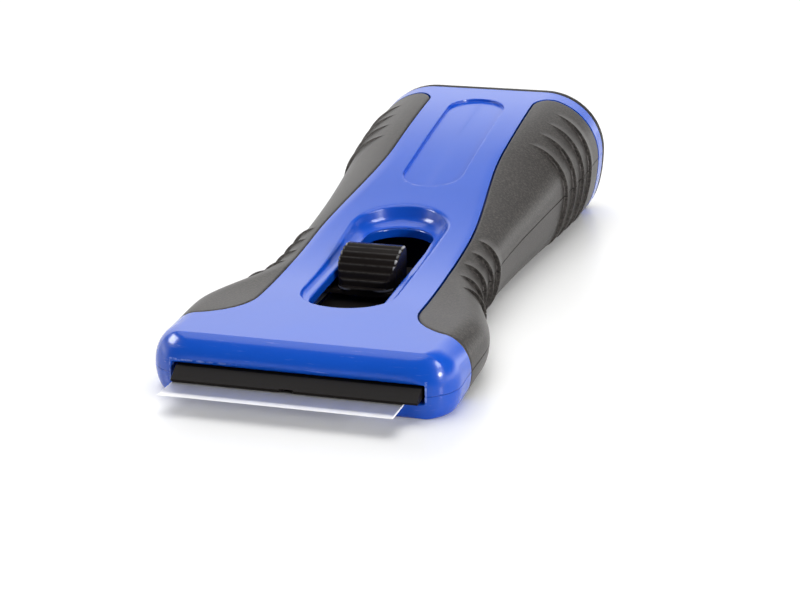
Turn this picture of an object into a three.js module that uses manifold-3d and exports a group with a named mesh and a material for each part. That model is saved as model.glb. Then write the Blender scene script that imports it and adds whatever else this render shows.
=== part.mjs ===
// A hand-held scraper with a retractable razor blade: two plastic half shells with rubber grips,
// a thumb slide that carries the blade, a leaf that locks the slide, and a pull-off end cap.
// Millimetres. X runs across, Y from the blade end to the grip end, Z up from the floor.

import * as THREE from "three";
import { mergeVertices } from "three/addons/utils/BufferGeometryUtils.js";
import Module from "manifold-3d";

const wasm = await Module();
wasm.setup();

// Driving dimensions. Places along Y are measured from the front face of the head.

// Outer body, seen from above
const bodyLength = 130.6;
const headHalf = 26.8;
const headCornerRadius = 4.5;
const lobeHalf = 27.2;
const lobeY = 20.5;
const waistHalf = 20;
const waistFrontY = 46;
const waistRearY = 54;
const rearHalf = 25.3;

// Outer body, seen from the side
const headTop = 10.8;
const rearTop = 26.3;
const riseStartY = 22;
const riseEndY = 145;
const topEdgeRadius = 2.5;
const soleEdgeRadius = 1.2;
const seamFront = 4.2;
const seamRear = 13.2;

// Width of the rounding between the side and the flat top, and between the side and the flat base
const headRoundEndY = 7;
const rearRoundY = 96;
const headTopRound = 5;
const lobeTopRound = 4.5;
const waistTopRound = 6.5;
const rearTopRound = 13;
const headBaseRound = 2;
const lobeBaseRound = 3.8;
const waistBaseRound = 3.6;
const rearBaseRound = 4.8;

// Shell walls, and the gaps between pieces
const wall = 1.7;
const gripPocket = 1.5;
const fitGap = 0.3;
const slideGap = 0.1;

// Rubber grips
const gripInnerWaist = 14.7;
const gripInnerRear = 11.3;
const gripTaperStartY = 54;
const gripTaperEndY = 96;
const gripFrontY = 11.3;
const gripFrontRound = 11.7;
const gripRearMargin = 5.4;
const gripRearRound = 5;
const ridgeLean = 12;
const ridgeTip = 66;
const ridgeHeight = 0.8;
const ridgeWidth = 2;
const waistRidgeCount = 5;
const waistRidgeY = 36;
const waistRidgePitch = 5.1;
const rearRidgeCount = 4;
const rearRidgeMargin = 13.5;
const rearRidgePitch = 5.7;

// Thumb recess, its opening, and the sunk label panel
const recessHalf = 8.4;
const recessFrontY = 21;
const recessRearY = 68;
const recessDraft = 0.35;
const ledgeFront = 10.4;
const ledgeRise = 0.039;
const openingHalf = 6.7;
const openingFrontY = 21.5;
const openingRearY = 66.1;
const panelHalf = 6.1;
const panelFrontY = 78;
const panelRearMargin = 7.2;
const panelDepth = 0.4;

// Blade slot and blade
const slotHalf = 22;
const slotBottom = 2.9;
const slotTop = 5.9;
const bladeWidth = 40;
const bladeDepth = 20;
const bladeThickness = 0.3;
const bladeReach = 8.4;
const bladeLift = 0.35;
const bladeEdge = 0.06;
const bevelDepth = 1.4;

// Blade carrier. It has play in the slot and lies a little to the left.
const carrierHalf = 20.9;
const carrierDepth = 13;
const carrierDrift = -0.8;
const carrierTopGap = 0.3;
const noseReach = 2.5;
const noseEdge = 0.35;
const pegRadius = 1.6;
const pegX = 10;
const pegY = 4.2;
const tongueHalf = 7.1;
const tongueRearY = 62;
const reliefRadius = 1.2;
const reliefDepth = 0.8;
const slideForward = 12;
const slideBack = 12;

// Thumb button, a quarter round with ribs across it
const buttonHalf = 5.6;
const buttonRearY = 49;
const buttonCorner = 2.2;
const crownRadius = 8.7;
const crownCentreY = 47.1;
const crownCentreZ = 5.7;
const crownRibs = 7;
const crownRibHeight = 0.4;
const crownEndAngle = 18;
const ribShare = 1 / 3;
const flangeHalf = 8.6;
const flangeThickness = 0.8;
const pressTravel = 1;
const postHalf = 1.8;
const postHeight = 3.2;

// Lock leaf, whose two tabs sit in notches of the shell's ribs
const leafThickness = 0.4;
const leafRootFrontY = 15;
const leafRootRearY = 20;
const leafArmWidth = 1.2;
const leafArmRise = 0.5;
const leafTabY = 50.5;
const leafTabHeight = 2.6;
const leafPegRadius = 1;
const leafPegX = 3.5;
const leafPegReach = 0.4;
const ribWidth = 1.6;
const ribReach = 3.2;
const notchHalf = 0.9;
const notchDepth = 1.1;

// Shell screws
const waistScrewX = 12;
const waistScrewY = 56.5;
const rearScrewX = 7.5;
const rearScrewY = 79.5;
const screwRadius = 1.2;
const screwHeadRadius = 1.75;
const screwHeadHeight = 1.5;
const screwLength = 7.6;
const screwSeatDepth = 4;
const crossLength = 2.2;
const crossWidth = 0.5;
const crossDepth = 0.8;
const bossRadius = 3;

// End cap
const capFlange = 1.5;
const capInset = 0.05;
const capDome = 3;
const capDomeInset = 6;
const capPlugLength = 8;
const capWall = 1.6;

// Fineness of the curved forms
const shoulderSteps = 6;
const arcSteps = 8;
const domeSteps = 4;
const stationPitch = 5;
const leanPasses = 4;
const far = 300;

// Sizes that follow from the ones above

const degrees = Math.PI / 180;
const seamSlope = (seamRear - seamFront) / bodyLength;
const cavityInset = gripPocket + wall;
const bladeBottom = slotBottom + bladeLift;
const bladeTop = bladeBottom + bladeThickness;
const carrierBottom = bladeTop + slideGap;
const carrierTop = slotTop - carrierTopGap;
const leafBottom = carrierTop + slideGap;
const leafRootY = (leafRootFrontY + leafRootRearY) / 2;
const leafRootTop = leafBottom + leafThickness;
const leafArmTop = leafBottom + leafArmRise + leafThickness;
const leafArmInner = flangeHalf - leafArmWidth;
const leafTabTop = leafArmTop + leafTabHeight - leafThickness;
const flangeBottom = leafArmTop + fitGap;
const flangeTop = flangeBottom + flangeThickness;
const ribBottom = flangeTop + fitGap;
const gripRearY = bodyLength - gripRearMargin;
const panelRearY = bodyLength - panelRearMargin;
const capFront = bodyLength + fitGap;
const capRear = capFront + capFlange + capDome;
const buttonFrontY = crownCentreY - Math.sqrt(crownRadius ** 2 - (flangeBottom - crownCentreZ) ** 2);

// The body along its length

const smooth = (y, y0, a, y1, b) => a + (b - a) * THREE.MathUtils.smoothstep(y, y0, y1);
const seamHeight = (y) => seamFront + seamSlope * y;
const ledgeHeight = (y) => ledgeFront + ledgeRise * (y - openingFrontY);
const gripInner = (y) => smooth(y, gripTaperStartY, gripInnerWaist, gripTaperEndY, gripInnerRear);

function roundDrop(y, radius) {
  const short = THREE.MathUtils.clamp(radius - y, 0, radius);
  return radius - Math.sqrt(radius ** 2 - short ** 2);
}

function halfWidth(y) {
  const head = smooth(y, headCornerRadius, headHalf, lobeY, lobeHalf) - roundDrop(y, headCornerRadius);
  const waist = smooth(y, lobeY, 0, waistFrontY, waistHalf - lobeHalf);
  return head + waist + smooth(y, waistRearY, 0, bodyLength, rearHalf - waistHalf);
}

function rounding(y, head, lobe, waist, rear) {
  const front = smooth(y, headRoundEndY, head, lobeY, lobe);
  const middle = smooth(y, lobeY, 0, waistFrontY, waist - lobe);
  return front + middle + smooth(y, waistRearY, 0, rearRoundY, rear - waist);
}
const topRound = (y) => rounding(y, headTopRound, lobeTopRound, waistTopRound, rearTopRound);
const baseRound = (y) => rounding(y, headBaseRound, lobeBaseRound, waistBaseRound, rearBaseRound);

function topHeight(y) {
  return smooth(y, riseStartY, headTop, riseEndY, rearTop) - roundDrop(y, topEdgeRadius);
}

const bottomHeight = (y) => roundDrop(y, soleEdgeRadius);

// How far the grip ridges stand out at y, at an angle up or down from the seam
const row = (count, first, pitch) => Array.from({ length: count }, (_, i) => first + i * pitch);
const ridges = [
  ...row(waistRidgeCount, waistRidgeY, waistRidgePitch),
  ...row(rearRidgeCount, bodyLength - rearRidgeMargin, -rearRidgePitch),
];
function ridgeAt(y, angle) {
  const away = Math.min(...ridges.map((ridge) => Math.abs(y - ridge)));
  const across = Math.max(0, 1 - (2 * away) / ridgeWidth);
  return ridgeHeight * across * Math.max(0, 1 - (angle / (ridgeTip * degrees)) ** 2);
}

// One point of the body's skin, at an angle up or down from the seam.
// A leaning section moves back as it rises.
function skinPoint(y, angle, upward, { inset = 0, lean = 0, ridged = false }) {
  const proud = ridged ? ridgeAt(y, angle) : 0;
  let at = y;
  let x = 0;
  let rise = 0;
  for (let pass = 0; pass < leanPasses; pass++) {
    const seam = seamHeight(at);
    const height = (upward ? topHeight(at) - seam : seam - bottomHeight(at)) - inset;
    const round = Math.max((upward ? topRound(at) : baseRound(at)) - inset, wall);
    x = halfWidth(at) - inset - round + (round + proud) * Math.cos(angle);
    rise = (height + proud) * Math.sin(angle) * (upward ? 1 : -1);
    at = y + rise * Math.tan(lean * degrees);
  }
  return new THREE.Vector3(x, at, seamHeight(at) + rise);
}

// One cross-section of the body, from the right end of the seam over the top and back underneath
function bodyRing(y, options = {}) {
  const angles = row(shoulderSteps + 1, 0, Math.PI / 2 / shoulderSteps);
  const top = angles.map((angle) => skinPoint(y, angle, true, options));
  const base = angles.slice(1).map((angle) => skinPoint(y, angle, false, options));
  const mirror = (p) => new THREE.Vector3(-p.x, p.y, p.z);
  return [...top, ...top.map(mirror).reverse(), ...base.map(mirror), ...base.reverse()];
}

function stations(y0, y1) {
  const steps = Math.ceil((y1 - y0) / stationPitch);
  return row(steps + 1, y0, (y1 - y0) / steps);
}

// Solids

function solid(geometry) {
  const bare = geometry.clone();
  bare.deleteAttribute("normal");
  bare.deleteAttribute("uv");
  const merged = mergeVertices(bare, 1e-4);
  const vertProperties = merged.attributes.position.array;
  const triVerts = new Uint32Array(merged.index.array);
  return new wasm.Manifold(new wasm.Mesh({ numProp: 3, vertProperties, triVerts }));
}

function geometryOf(made) {
  const mesh = made.getMesh();
  const geometry = new THREE.BufferGeometry();
  geometry.setAttribute("position", new THREE.BufferAttribute(mesh.vertProperties, 3));
  geometry.setIndex(new THREE.BufferAttribute(mesh.triVerts, 1));
  geometry.computeVertexNormals();
  return geometry;
}

function box(x0, x1, y0, y1, z0, z1) {
  const geometry = new THREE.BoxGeometry(x1 - x0, y1 - y0, z1 - z0);
  return solid(geometry.translate((x0 + x1) / 2, (y0 + y1) / 2, (z0 + z1) / 2));
}

function upright(radius, x, y, z0, z1) {
  const geometry = new THREE.CylinderGeometry(radius, radius, z1 - z0, 2 * arcSteps);
  return solid(geometry.rotateX(Math.PI / 2).translate(x, y, (z0 + z1) / 2));
}

// A plan outline raised from z0 to z1
function plate(shape, z0, z1) {
  const settings = { depth: z1 - z0, bevelEnabled: false, curveSegments: arcSteps };
  return solid(new THREE.ExtrudeGeometry(shape, settings).translate(0, 0, z0));
}

// A side outline of [y, z] points drawn out from x0 to x1
function sideProfile(points, x0, x1) {
  const shape = new THREE.Shape(points.map(([y, z]) => new THREE.Vector2(y, z)));
  const geometry = new THREE.ExtrudeGeometry(shape, { depth: x1 - x0, bevelEnabled: false });
  const [across, along, up] = [0, 1, 2].map((axis) => new THREE.Vector3().setComponent(axis, 1));
  geometry.applyMatrix4(new THREE.Matrix4().makeBasis(along, up, across));
  return solid(geometry.translate(x0, 0, 0));
}

// All that lies above a line along Y
function above(heightAt) {
  const corners = [-far, far].map((y) => [y, heightAt(y)]);
  return sideProfile([...corners, [far, 2 * far], [-far, 2 * far]], -far, far);
}

function stadium(half, y0, y1) {
  const shape = new THREE.Shape();
  shape.absarc(0, y0 + half, half, Math.PI, 2 * Math.PI);
  shape.absarc(0, y1 - half, half, 0, Math.PI);
  return shape;
}

function roundedOblong(half, y0, y1, radius) {
  const shape = new THREE.Shape();
  shape.absarc(half - radius, y0 + radius, radius, -Math.PI / 2, 0);
  shape.absarc(half - radius, y1 - radius, radius, 0, Math.PI / 2);
  shape.absarc(radius - half, y1 - radius, radius, Math.PI / 2, Math.PI);
  shape.absarc(radius - half, y0 + radius, radius, Math.PI, Math.PI * 1.5);
  return shape;
}

// A closed skin through rings of equally many points, in order along Y
function loft(rings) {
  const count = rings[0].length;
  const points = rings.flat();
  const triangles = [];
  for (let i = 0; i + 1 < rings.length; i++) {
    for (let j = 0; j < count; j++) {
      const a = i * count + j;
      const b = i * count + ((j + 1) % count);
      triangles.push(a, a + count, b, b, a + count, b + count);
    }
  }
  const middle = (ring) => ring.reduce((sum, p) => sum.add(p), new THREE.Vector3()).divideScalar(count);
  const front = points.push(middle(rings[0])) - 1;
  const rear = points.push(middle(rings.at(-1))) - 1;
  const last = (rings.length - 1) * count;
  for (let j = 0; j < count; j++) {
    const next = (j + 1) % count;
    triangles.push(front, j, next, rear, last + next, last + j);
  }
  const geometry = new THREE.BufferGeometry().setFromPoints(points);
  return solid(geometry.setIndex(triangles));
}

const union = (solids) => solids.reduce((sum, each) => sum.add(each));
const bothSides = (make) => [make(1), make(-1)];

// The outer body, and the same form sunk by an inset, for pockets and hollows

const frontStations = row(arcSteps, 0, 1 / arcSteps).map(
  (share) => headCornerRadius * (1 - Math.cos((share * Math.PI) / 2)),
);
const bodyStations = [...frontStations, ...stations(headCornerRadius, bodyLength)];
const sunkBody = (inset) => loft(bodyStations.map((y) => bodyRing(y, { inset })));
const outerBody = sunkBody(0);
const pocketFloor = sunkBody(gripPocket);
const aboveSeam = above((y) => seamHeight(y) + fitGap / 2);
const belowSeam = (made) => made.subtract(above((y) => seamHeight(y) - fitGap / 2));
const aboveLedge = above(ledgeHeight);
const underLedge = above((y) => ledgeHeight(y) - wall);

// Outline of one grip seen from above, drawn in by a gap on every edge
function gripOutline(side, gap) {
  const bendY = gripFrontY + gripFrontRound;
  const endY = gripRearY - gripRearRound;
  const outer = lobeHalf + gripRearRound;
  const quarters = row(arcSteps + 1, 0, Math.PI / 2 / arcSteps);
  const bendWidth = headHalf - gripInner(bendY) - gap;
  const bend = quarters.map((angle) => [
    headHalf - bendWidth * Math.sin(angle),
    bendY - (gripFrontRound - gap) * Math.cos(angle),
  ]);
  const inner = stations(bendY, endY).map((y) => [gripInner(y) + gap, y]);
  const corner = quarters.map((angle) => [
    gripInner(endY) + gripRearRound - (gripRearRound - gap) * Math.cos(angle),
    endY + (gripRearRound - gap) * Math.sin(angle),
  ]);
  const ends = [
    [outer, gripRearY - gap],
    [outer, gripFrontY + gap],
  ];
  const points = [...bend, ...inner.slice(1, -1), ...corner, ...ends];
  return new THREE.Shape(points.map(([x, y]) => new THREE.Vector2(side * x, y)));
}

// Grips: a rubber layer in the pocket of each half shell, with ridges across it

const ridgeStations = ridges.flatMap((y) => [y - ridgeWidth / 2, y, y + ridgeWidth / 2]);
const isPlain = (y) => ridges.every((ridge) => Math.abs(y - ridge) > ridgeWidth);
const plainStations = bodyStations.filter(isPlain);
const gripStations = [...ridgeStations, ...plainStations].sort((a, b) => a - b);
const gripSkin = loft(gripStations.map((y) => bodyRing(y, { lean: ridgeLean, ridged: true })));
const gripLayer = gripSkin.subtract(sunkBody(gripPocket - fitGap));
const grip = (side) => gripLayer.intersect(plate(gripOutline(side, fitGap), -far, far));

// Hollows of the shell

function drafted(half, y0, y1, draft) {
  const rings = [0, 2 * rearTop].map((z) => {
    const grow = draft * (z - ledgeFront);
    const outline = stadium(half + grow, y0, y1 + grow).getPoints(arcSteps);
    return outline.slice(0, -1).map((p) => new THREE.Vector3(p.x, p.y, z));
  });
  return loft(rings.map((ring) => ring.reverse()));
}

const screwPlaces = [
  ...bothSides((side) => [side * waistScrewX, waistScrewY]),
  ...bothSides((side) => [side * rearScrewX, rearScrewY]),
];

function handleHollow() {
  const frontY = carrierDepth + slideBack + cavityInset;
  const ys = [...stations(frontY, bodyLength).slice(0, -1), bodyLength + stationPitch];
  const rings = ys.map((y) => bodyRing(y, { inset: cavityInset }));
  const thumbHousing = drafted(recessHalf + wall, recessFrontY - wall, recessRearY + wall, recessDraft);
  const bosses = screwPlaces.map(([x, y]) => upright(bossRadius, x, y, -far, far));
  return loft(rings).subtract(thumbHousing.intersect(underLedge)).subtract(union(bosses));
}

function slideway() {
  const channelHalf = flangeHalf + fitGap - carrierDrift;
  const channelFront = leafRootFrontY - slideForward - fitGap;
  const mouth = box(-slotHalf, slotHalf, -far, carrierDepth + slideBack + fitGap, slotBottom, slotTop);
  const channelBottom = carrierBottom - fitGap;
  const channelRear = tongueRearY + slideBack + fitGap;
  const channel = box(-channelHalf, channelHalf, channelFront, channelRear, channelBottom, ribBottom);
  const opening = plate(stadium(openingHalf, openingFrontY, openingRearY), slotTop, far);
  return mouth.add(channel).add(opening);
}

const recess = drafted(recessHalf, recessFrontY, recessRearY, recessDraft).intersect(aboveLedge);
const panelOutline = stadium(panelHalf, panelFrontY, panelRearY);
const panel = plate(panelOutline, seamRear, far).subtract(sunkBody(panelDepth));
const pocket = (side) => plate(gripOutline(side, 0), -far, far).subtract(pocketFloor);
const body = union(bothSides(pocket)).add(handleHollow()).add(slideway()).add(recess).add(panel);
const shell = outerBody.subtract(body);

// Ribs beside the thumb opening, with a notch for each place where the slide locks

function lockRib(side) {
  const ends = [leafTabY - slideForward - ribReach, leafTabY + slideBack + ribReach];
  const low = ends.map((y) => [y, ribBottom]);
  const high = ends.map((y) => [y, ledgeHeight(y) - wall / 2]).reverse();
  const middle = (side * (leafArmInner + flangeHalf)) / 2;
  const rib = sideProfile([...low, ...high], middle - ribWidth / 2, middle + ribWidth / 2);
  const notches = [-slideForward, 0, slideBack].map((offset) => {
    const y = leafTabY + leafThickness / 2 + offset;
    const [x0, x1] = [middle - ribWidth, middle + ribWidth];
    return box(x0, x1, y - notchHalf, y + notchHalf, 0, ribBottom + notchDepth);
  });
  return rib.subtract(union(notches));
}

const seatHeight = (y) => seamHeight(y) - screwSeatDepth;
function screwHole([x, y]) {
  const seat = seatHeight(y);
  return upright(screwRadius + slideGap, x, y, seat - screwHeadHeight, seat + screwLength + fitGap);
}
const counterbore = ([x, y]) => upright(screwHeadRadius + fitGap, x, y, -far, seatHeight(y));
const screwCuts = union(screwPlaces.map((place) => screwHole(place).add(counterbore(place))));
const upperShell = shell.intersect(aboveSeam).add(union(bothSides(lockRib))).subtract(screwCuts);
const lowerShell = belowSeam(shell).subtract(screwCuts);

function shellScrew([x, y]) {
  const seat = seatHeight(y) - slideGap;
  const shank = upright(screwRadius, x, y, seat - screwHeadHeight / 2, seat + screwLength);
  const head = upright(screwHeadRadius, x, y, seat - screwHeadHeight, seat);
  const [long, short] = [crossLength / 2, crossWidth / 2];
  const low = seat - 2 * screwHeadHeight;
  const high = seat - screwHeadHeight + crossDepth;
  const bar = (dx, dy) => box(x - dx, x + dx, y - dy, y + dy, low, high);
  return head.add(shank).subtract(bar(long, short)).subtract(bar(short, long));
}

// The slide: blade, carrier, lock leaf and thumb button

function blade() {
  const edgeY = -bladeReach;
  const middle = bladeBottom + bladeThickness / 2;
  const profile = [
    [edgeY, middle - bladeEdge / 2],
    [edgeY + bevelDepth, bladeBottom],
    [edgeY + bladeDepth, bladeBottom],
    [edgeY + bladeDepth, bladeTop],
    [edgeY + bevelDepth, bladeTop],
    [edgeY, middle + bladeEdge / 2],
  ];
  const holes = bothSides((side) => upright(pegRadius + fitGap, side * pegX, pegY, 0, slotTop));
  return sideProfile(profile, -bladeWidth / 2, bladeWidth / 2).subtract(union(holes));
}

const postY = (buttonFrontY + buttonRearY) / 2;

function bladeCarrier() {
  const profile = [
    [-noseReach, carrierBottom],
    [carrierDepth, carrierBottom],
    [carrierDepth, carrierTop],
    [0, carrierTop],
    [-noseReach, carrierBottom + noseEdge],
  ];
  const bar = sideProfile(profile, -carrierHalf, carrierHalf);
  const tongue = box(-tongueHalf, tongueHalf, 0, tongueRearY, carrierBottom, carrierTop);
  const postTop = carrierTop + postHeight;
  const post = box(-postHalf, postHalf, postY - postHalf, postY + postHalf, carrierBottom, postTop);
  const bladePegs = bothSides((side) => {
    return upright(pegRadius, side * pegX, pegY, bladeBottom, (carrierBottom + carrierTop) / 2);
  });
  const leafPegTop = leafRootTop + leafPegReach;
  const leafPegs = bothSides((side) => {
    return upright(leafPegRadius, side * leafPegX, leafRootY, carrierBottom, leafPegTop);
  });
  const relief = upright(reliefRadius, 0, -noseReach, 0, carrierBottom + reliefDepth);
  return union([bar, tongue, post, ...bladePegs, ...leafPegs]).subtract(relief);
}

function lockLeaf() {
  const root = box(-flangeHalf, flangeHalf, leafRootFrontY, leafRootRearY, leafBottom, leafRootTop);
  const raised = leafBottom + leafArmRise;
  const startY = leafRootRearY - leafThickness;
  const profile = [
    [startY, leafBottom],
    [leafTabY + leafThickness, raised],
    [leafTabY + leafThickness, leafTabTop],
    [leafTabY, leafTabTop],
    [leafTabY, raised + leafThickness],
    [startY, leafRootTop],
  ];
  const arms = bothSides((side) => {
    const [x0, x1] = [side * leafArmInner, side * flangeHalf].sort((a, b) => a - b);
    return sideProfile(profile, x0, x1);
  });
  const holeRadius = leafPegRadius + fitGap;
  const holes = bothSides((side) => upright(holeRadius, side * leafPegX, leafRootY, 0, far));
  return root.add(union(arms)).subtract(union(holes));
}

function thumbButton() {
  const crown = (angle, radius) => [
    crownCentreY - radius * Math.cos(angle * degrees),
    crownCentreZ + radius * Math.sin(angle * degrees),
  ];
  const valley = crownRadius - crownRibHeight;
  const step = (90 - crownEndAngle) / crownRibs;
  const ribs = row(crownRibs, 90, -step).flatMap((angle) => [
    crown(angle, crownRadius),
    crown(angle - step * ribShare, crownRadius),
    crown(angle - step / 2, valley),
    crown(angle - step * (ribShare + 1 / 2), valley),
  ]);
  const backTop = crownCentreZ + valley - crownRibHeight;
  const corners = [
    [buttonFrontY, flangeBottom],
    [buttonRearY, flangeBottom],
    [buttonRearY, backTop],
  ];
  const profile = [...corners, ...ribs];
  const plan = plate(roundedOblong(buttonHalf, buttonFrontY, buttonRearY, buttonCorner), 0, far);
  const block = sideProfile(profile, -buttonHalf, buttonHalf).intersect(plan);
  const [flangeFront, flangeRear] = [buttonFrontY + fitGap, buttonRearY - fitGap];
  const flange = box(-flangeHalf, flangeHalf, flangeFront, flangeRear, flangeBottom, flangeTop);
  const socketHalf = postHalf + fitGap;
  const socketTop = carrierTop + postHeight + pressTravel + fitGap;
  const socket = box(-socketHalf, socketHalf, postY - socketHalf, postY + socketHalf, 0, socketTop);
  return block.add(flange).subtract(socket);
}

// End cap: a plug inside the handle, a flange that carries on the body's outline, and a shallow dome

function endCap() {
  const moved = (ring, y) => ring.map((p) => new THREE.Vector3(p.x, y, p.z));
  const rimY = capFront + capFlange;
  const bend = row(domeSteps, 1, 1).map((k) => ((k / domeSteps) * Math.PI) / 2);
  const dome = bend.map((angle) => {
    const inset = capInset + capDomeInset * (1 - Math.cos(angle));
    return moved(bodyRing(bodyLength, { inset }), rimY + capDome * Math.sin(angle));
  });
  const rim = bodyRing(bodyLength, { inset: capInset });
  const cover = loft([moved(rim, capFront), moved(rim, rimY), ...dome]);
  const plugYs = stations(bodyLength - capPlugLength, bodyLength);
  const plugRings = (inset, y0, y1) => {
    const rings = plugYs.slice(1, -1).map((y) => bodyRing(y, { inset }));
    return [moved(bodyRing(plugYs[0], { inset }), y0), ...rings, moved(bodyRing(bodyLength, { inset }), y1)];
  };
  const plug = loft(plugRings(cavityInset + fitGap, plugYs[0], rimY));
  const bore = loft(plugRings(cavityInset + fitGap + capWall, plugYs[0] - fitGap, capFront));
  return cover.add(plug).subtract(bore);
}

// Materials

function finish(color, roughness, metalness = 0) {
  return new THREE.MeshStandardMaterial({ color, roughness, metalness });
}
const bluePlastic = finish(0x2f5fe0, 0.35);
const rubber = finish(0x3a3733, 0.85);
const blackPlastic = finish(0x17171a, 0.4);
const bladeSteel = finish(0xc9ccd2, 0.22, 1);
const springSteel = finish(0x9a9da3, 0.35, 1);
const screwSteel = finish(0x8f9296, 0.4, 1);

// Assembly, with the origin on the floor in the middle of the whole length

const scraper = new THREE.Group();
const handle = new THREE.Group();
const slide = new THREE.Group();
scraper.add(handle);
handle.add(slide);
handle.position.y = (bladeReach - capRear) / 2;
slide.position.x = carrierDrift;

function addPiece(group, name, made, material) {
  const mesh = new THREE.Mesh(geometryOf(made), material);
  mesh.name = name;
  group.add(mesh);
}

addPiece(handle, "upper_shell", upperShell, bluePlastic);
addPiece(handle, "lower_shell", lowerShell, bluePlastic);
for (const [name, side] of [["right", 1], ["left", -1]]) {
  addPiece(handle, `upper_grip_${name}`, grip(side).intersect(aboveSeam), rubber);
  addPiece(handle, `lower_grip_${name}`, belowSeam(grip(side)), rubber);
}
screwPlaces.forEach((place, i) => addPiece(handle, `shell_screw_${i + 1}`, shellScrew(place), screwSteel));
addPiece(handle, "end_cap", endCap(), blackPlastic);
addPiece(slide, "blade", blade(), bladeSteel);
addPiece(slide, "blade_carrier", bladeCarrier(), blackPlastic);
addPiece(slide, "lock_leaf", lockLeaf(), springSteel);
addPiece(slide, "thumb_button", thumbButton(), blackPlastic);

export default scraper;
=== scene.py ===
import math

import bpy
import numpy as np
from mathutils import Matrix, Vector


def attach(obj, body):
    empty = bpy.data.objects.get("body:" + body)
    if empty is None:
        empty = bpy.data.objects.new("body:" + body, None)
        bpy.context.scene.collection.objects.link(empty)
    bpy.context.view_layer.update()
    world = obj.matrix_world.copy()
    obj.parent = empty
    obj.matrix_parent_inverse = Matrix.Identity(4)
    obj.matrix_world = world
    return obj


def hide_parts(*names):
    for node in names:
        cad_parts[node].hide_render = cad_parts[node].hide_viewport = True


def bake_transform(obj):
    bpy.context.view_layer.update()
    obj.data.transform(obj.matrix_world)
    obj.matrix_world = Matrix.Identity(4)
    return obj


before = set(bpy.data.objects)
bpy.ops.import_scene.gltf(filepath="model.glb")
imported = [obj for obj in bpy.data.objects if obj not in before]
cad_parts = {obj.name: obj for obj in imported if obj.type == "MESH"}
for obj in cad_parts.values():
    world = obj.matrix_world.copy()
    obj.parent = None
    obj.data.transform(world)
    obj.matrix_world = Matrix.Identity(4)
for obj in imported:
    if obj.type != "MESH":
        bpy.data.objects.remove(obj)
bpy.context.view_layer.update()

bpy.context.scene.view_settings.view_transform = "Standard"
mm = 0.001
rowShift = -63.5     # mm: where the front face of the head lies along Y
mergeWithin, sliverWithin = 2e-7, 1e-7     # m: doubles and slivers that tidyMesh takes out
rodSides = 48
print("frame loaded:", len(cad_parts), "pieces")


# Hand tools: each one picks its piece first, then works on it as in the window.

def letGo():
    bpy.ops.object.select_all(action="DESELECT")


def pick(piece):
    letGo()
    piece.select_set(True)
    bpy.context.view_layer.objects.active = piece
    return piece


def added(name):
    piece = bpy.context.active_object
    piece.name = name
    return piece


def place(points):
    return (np.asarray(points, float) + [0, rowShift, 0]) * mm


def tidyMesh(piece, closeEnds=True):
    pick(piece)
    bpy.ops.object.mode_set(mode="EDIT")
    bpy.ops.mesh.select_mode(type="VERT")
    bpy.ops.mesh.select_all(action="SELECT")
    bpy.ops.mesh.remove_doubles(threshold=mergeWithin)
    bpy.ops.mesh.dissolve_degenerate(threshold=sliverWithin)
    if closeEnds:
        bpy.ops.mesh.select_all(action="SELECT")
        bpy.ops.mesh.fill_holes(sides=0)
    bpy.ops.mesh.select_all(action="SELECT")
    bpy.ops.mesh.normals_make_consistent(inside=False)
    bpy.ops.object.mode_set(mode="OBJECT")
    return piece


# A grid is added flat and its rows are laid on the rings, in mm from the head's front
def layRings(name, rings):
    rings = np.asarray(rings, float)
    rows, count = rings.shape[:2]
    letGo()
    bpy.ops.mesh.primitive_grid_add(x_subdivisions=count, y_subdivisions=rows - 1, size=1)
    piece = added(name)
    spots = np.empty(len(piece.data.vertices) * 3)
    piece.data.vertices.foreach_get("co", spots)
    spots = spots.reshape(-1, 3)
    column = np.rint((spots[:, 0] + 0.5) * count).astype(int) % count
    row = np.rint((spots[:, 1] + 0.5) * (rows - 1)).astype(int)
    piece.data.vertices.foreach_set("co", place(rings[row, column]).ravel())
    return tidyMesh(piece)


def settled(name):
    bpy.ops.object.transform_apply(location=True, rotation=True, scale=True)
    return added(name)


def addBlock(name, x0, x1, y0, y1, z0, z1):
    letGo()
    low, high = place([[x0, y0, z0], [x1, y1, z1]])
    bpy.ops.mesh.primitive_cube_add(size=1, location=(low + high) / 2, scale=high - low)
    return settled(name)


def addRod(name, radius, x, y, z0, z1):
    letGo()
    low, high = place([[x, y, z0], [x, y, z1]])
    bpy.ops.mesh.primitive_cylinder_add(
        vertices=rodSides, radius=radius * mm, depth=high[2] - low[2], location=(low + high) / 2
    )
    return settled(name)


# An outline of (y, z) points filled as one face and extruded across, from x0 to x1
def drawAcross(name, outline, x0, x1):
    letGo()
    bpy.ops.mesh.primitive_circle_add(vertices=len(outline), radius=1, fill_type="NGON")
    piece = added(name)
    for vertex, (y, z) in zip(piece.data.vertices, outline):
        vertex.co = Vector(place([x0, y, z]))
    bpy.ops.object.mode_set(mode="EDIT")
    bpy.ops.mesh.select_all(action="SELECT")
    bpy.ops.mesh.extrude_region_move(TRANSFORM_OT_translate={"value": ((x1 - x0) * mm, 0, 0)})
    bpy.ops.object.mode_set(mode="OBJECT")
    return tidyMesh(piece, closeEnds=False)


def applyAll(piece):
    pick(piece)
    for modifier in list(piece.modifiers):
        bpy.ops.object.modifier_apply(modifier=modifier.name)
    return piece


def carve(piece, cutter, operation="DIFFERENCE"):
    cut = piece.modifiers.new("Cut", "BOOLEAN")
    cut.object, cut.operation, cut.solver = cutter, operation, "EXACT"
    applyAll(piece)
    bpy.data.objects.remove(cutter)
    return piece


def soften(piece, width, segments, angle):
    edge = piece.modifiers.new("Edge", "BEVEL")
    edge.width, edge.segments, edge.limit_method = width * mm, segments, "ANGLE"
    edge.angle_limit = math.radians(angle)
    return applyAll(piece)


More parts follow.
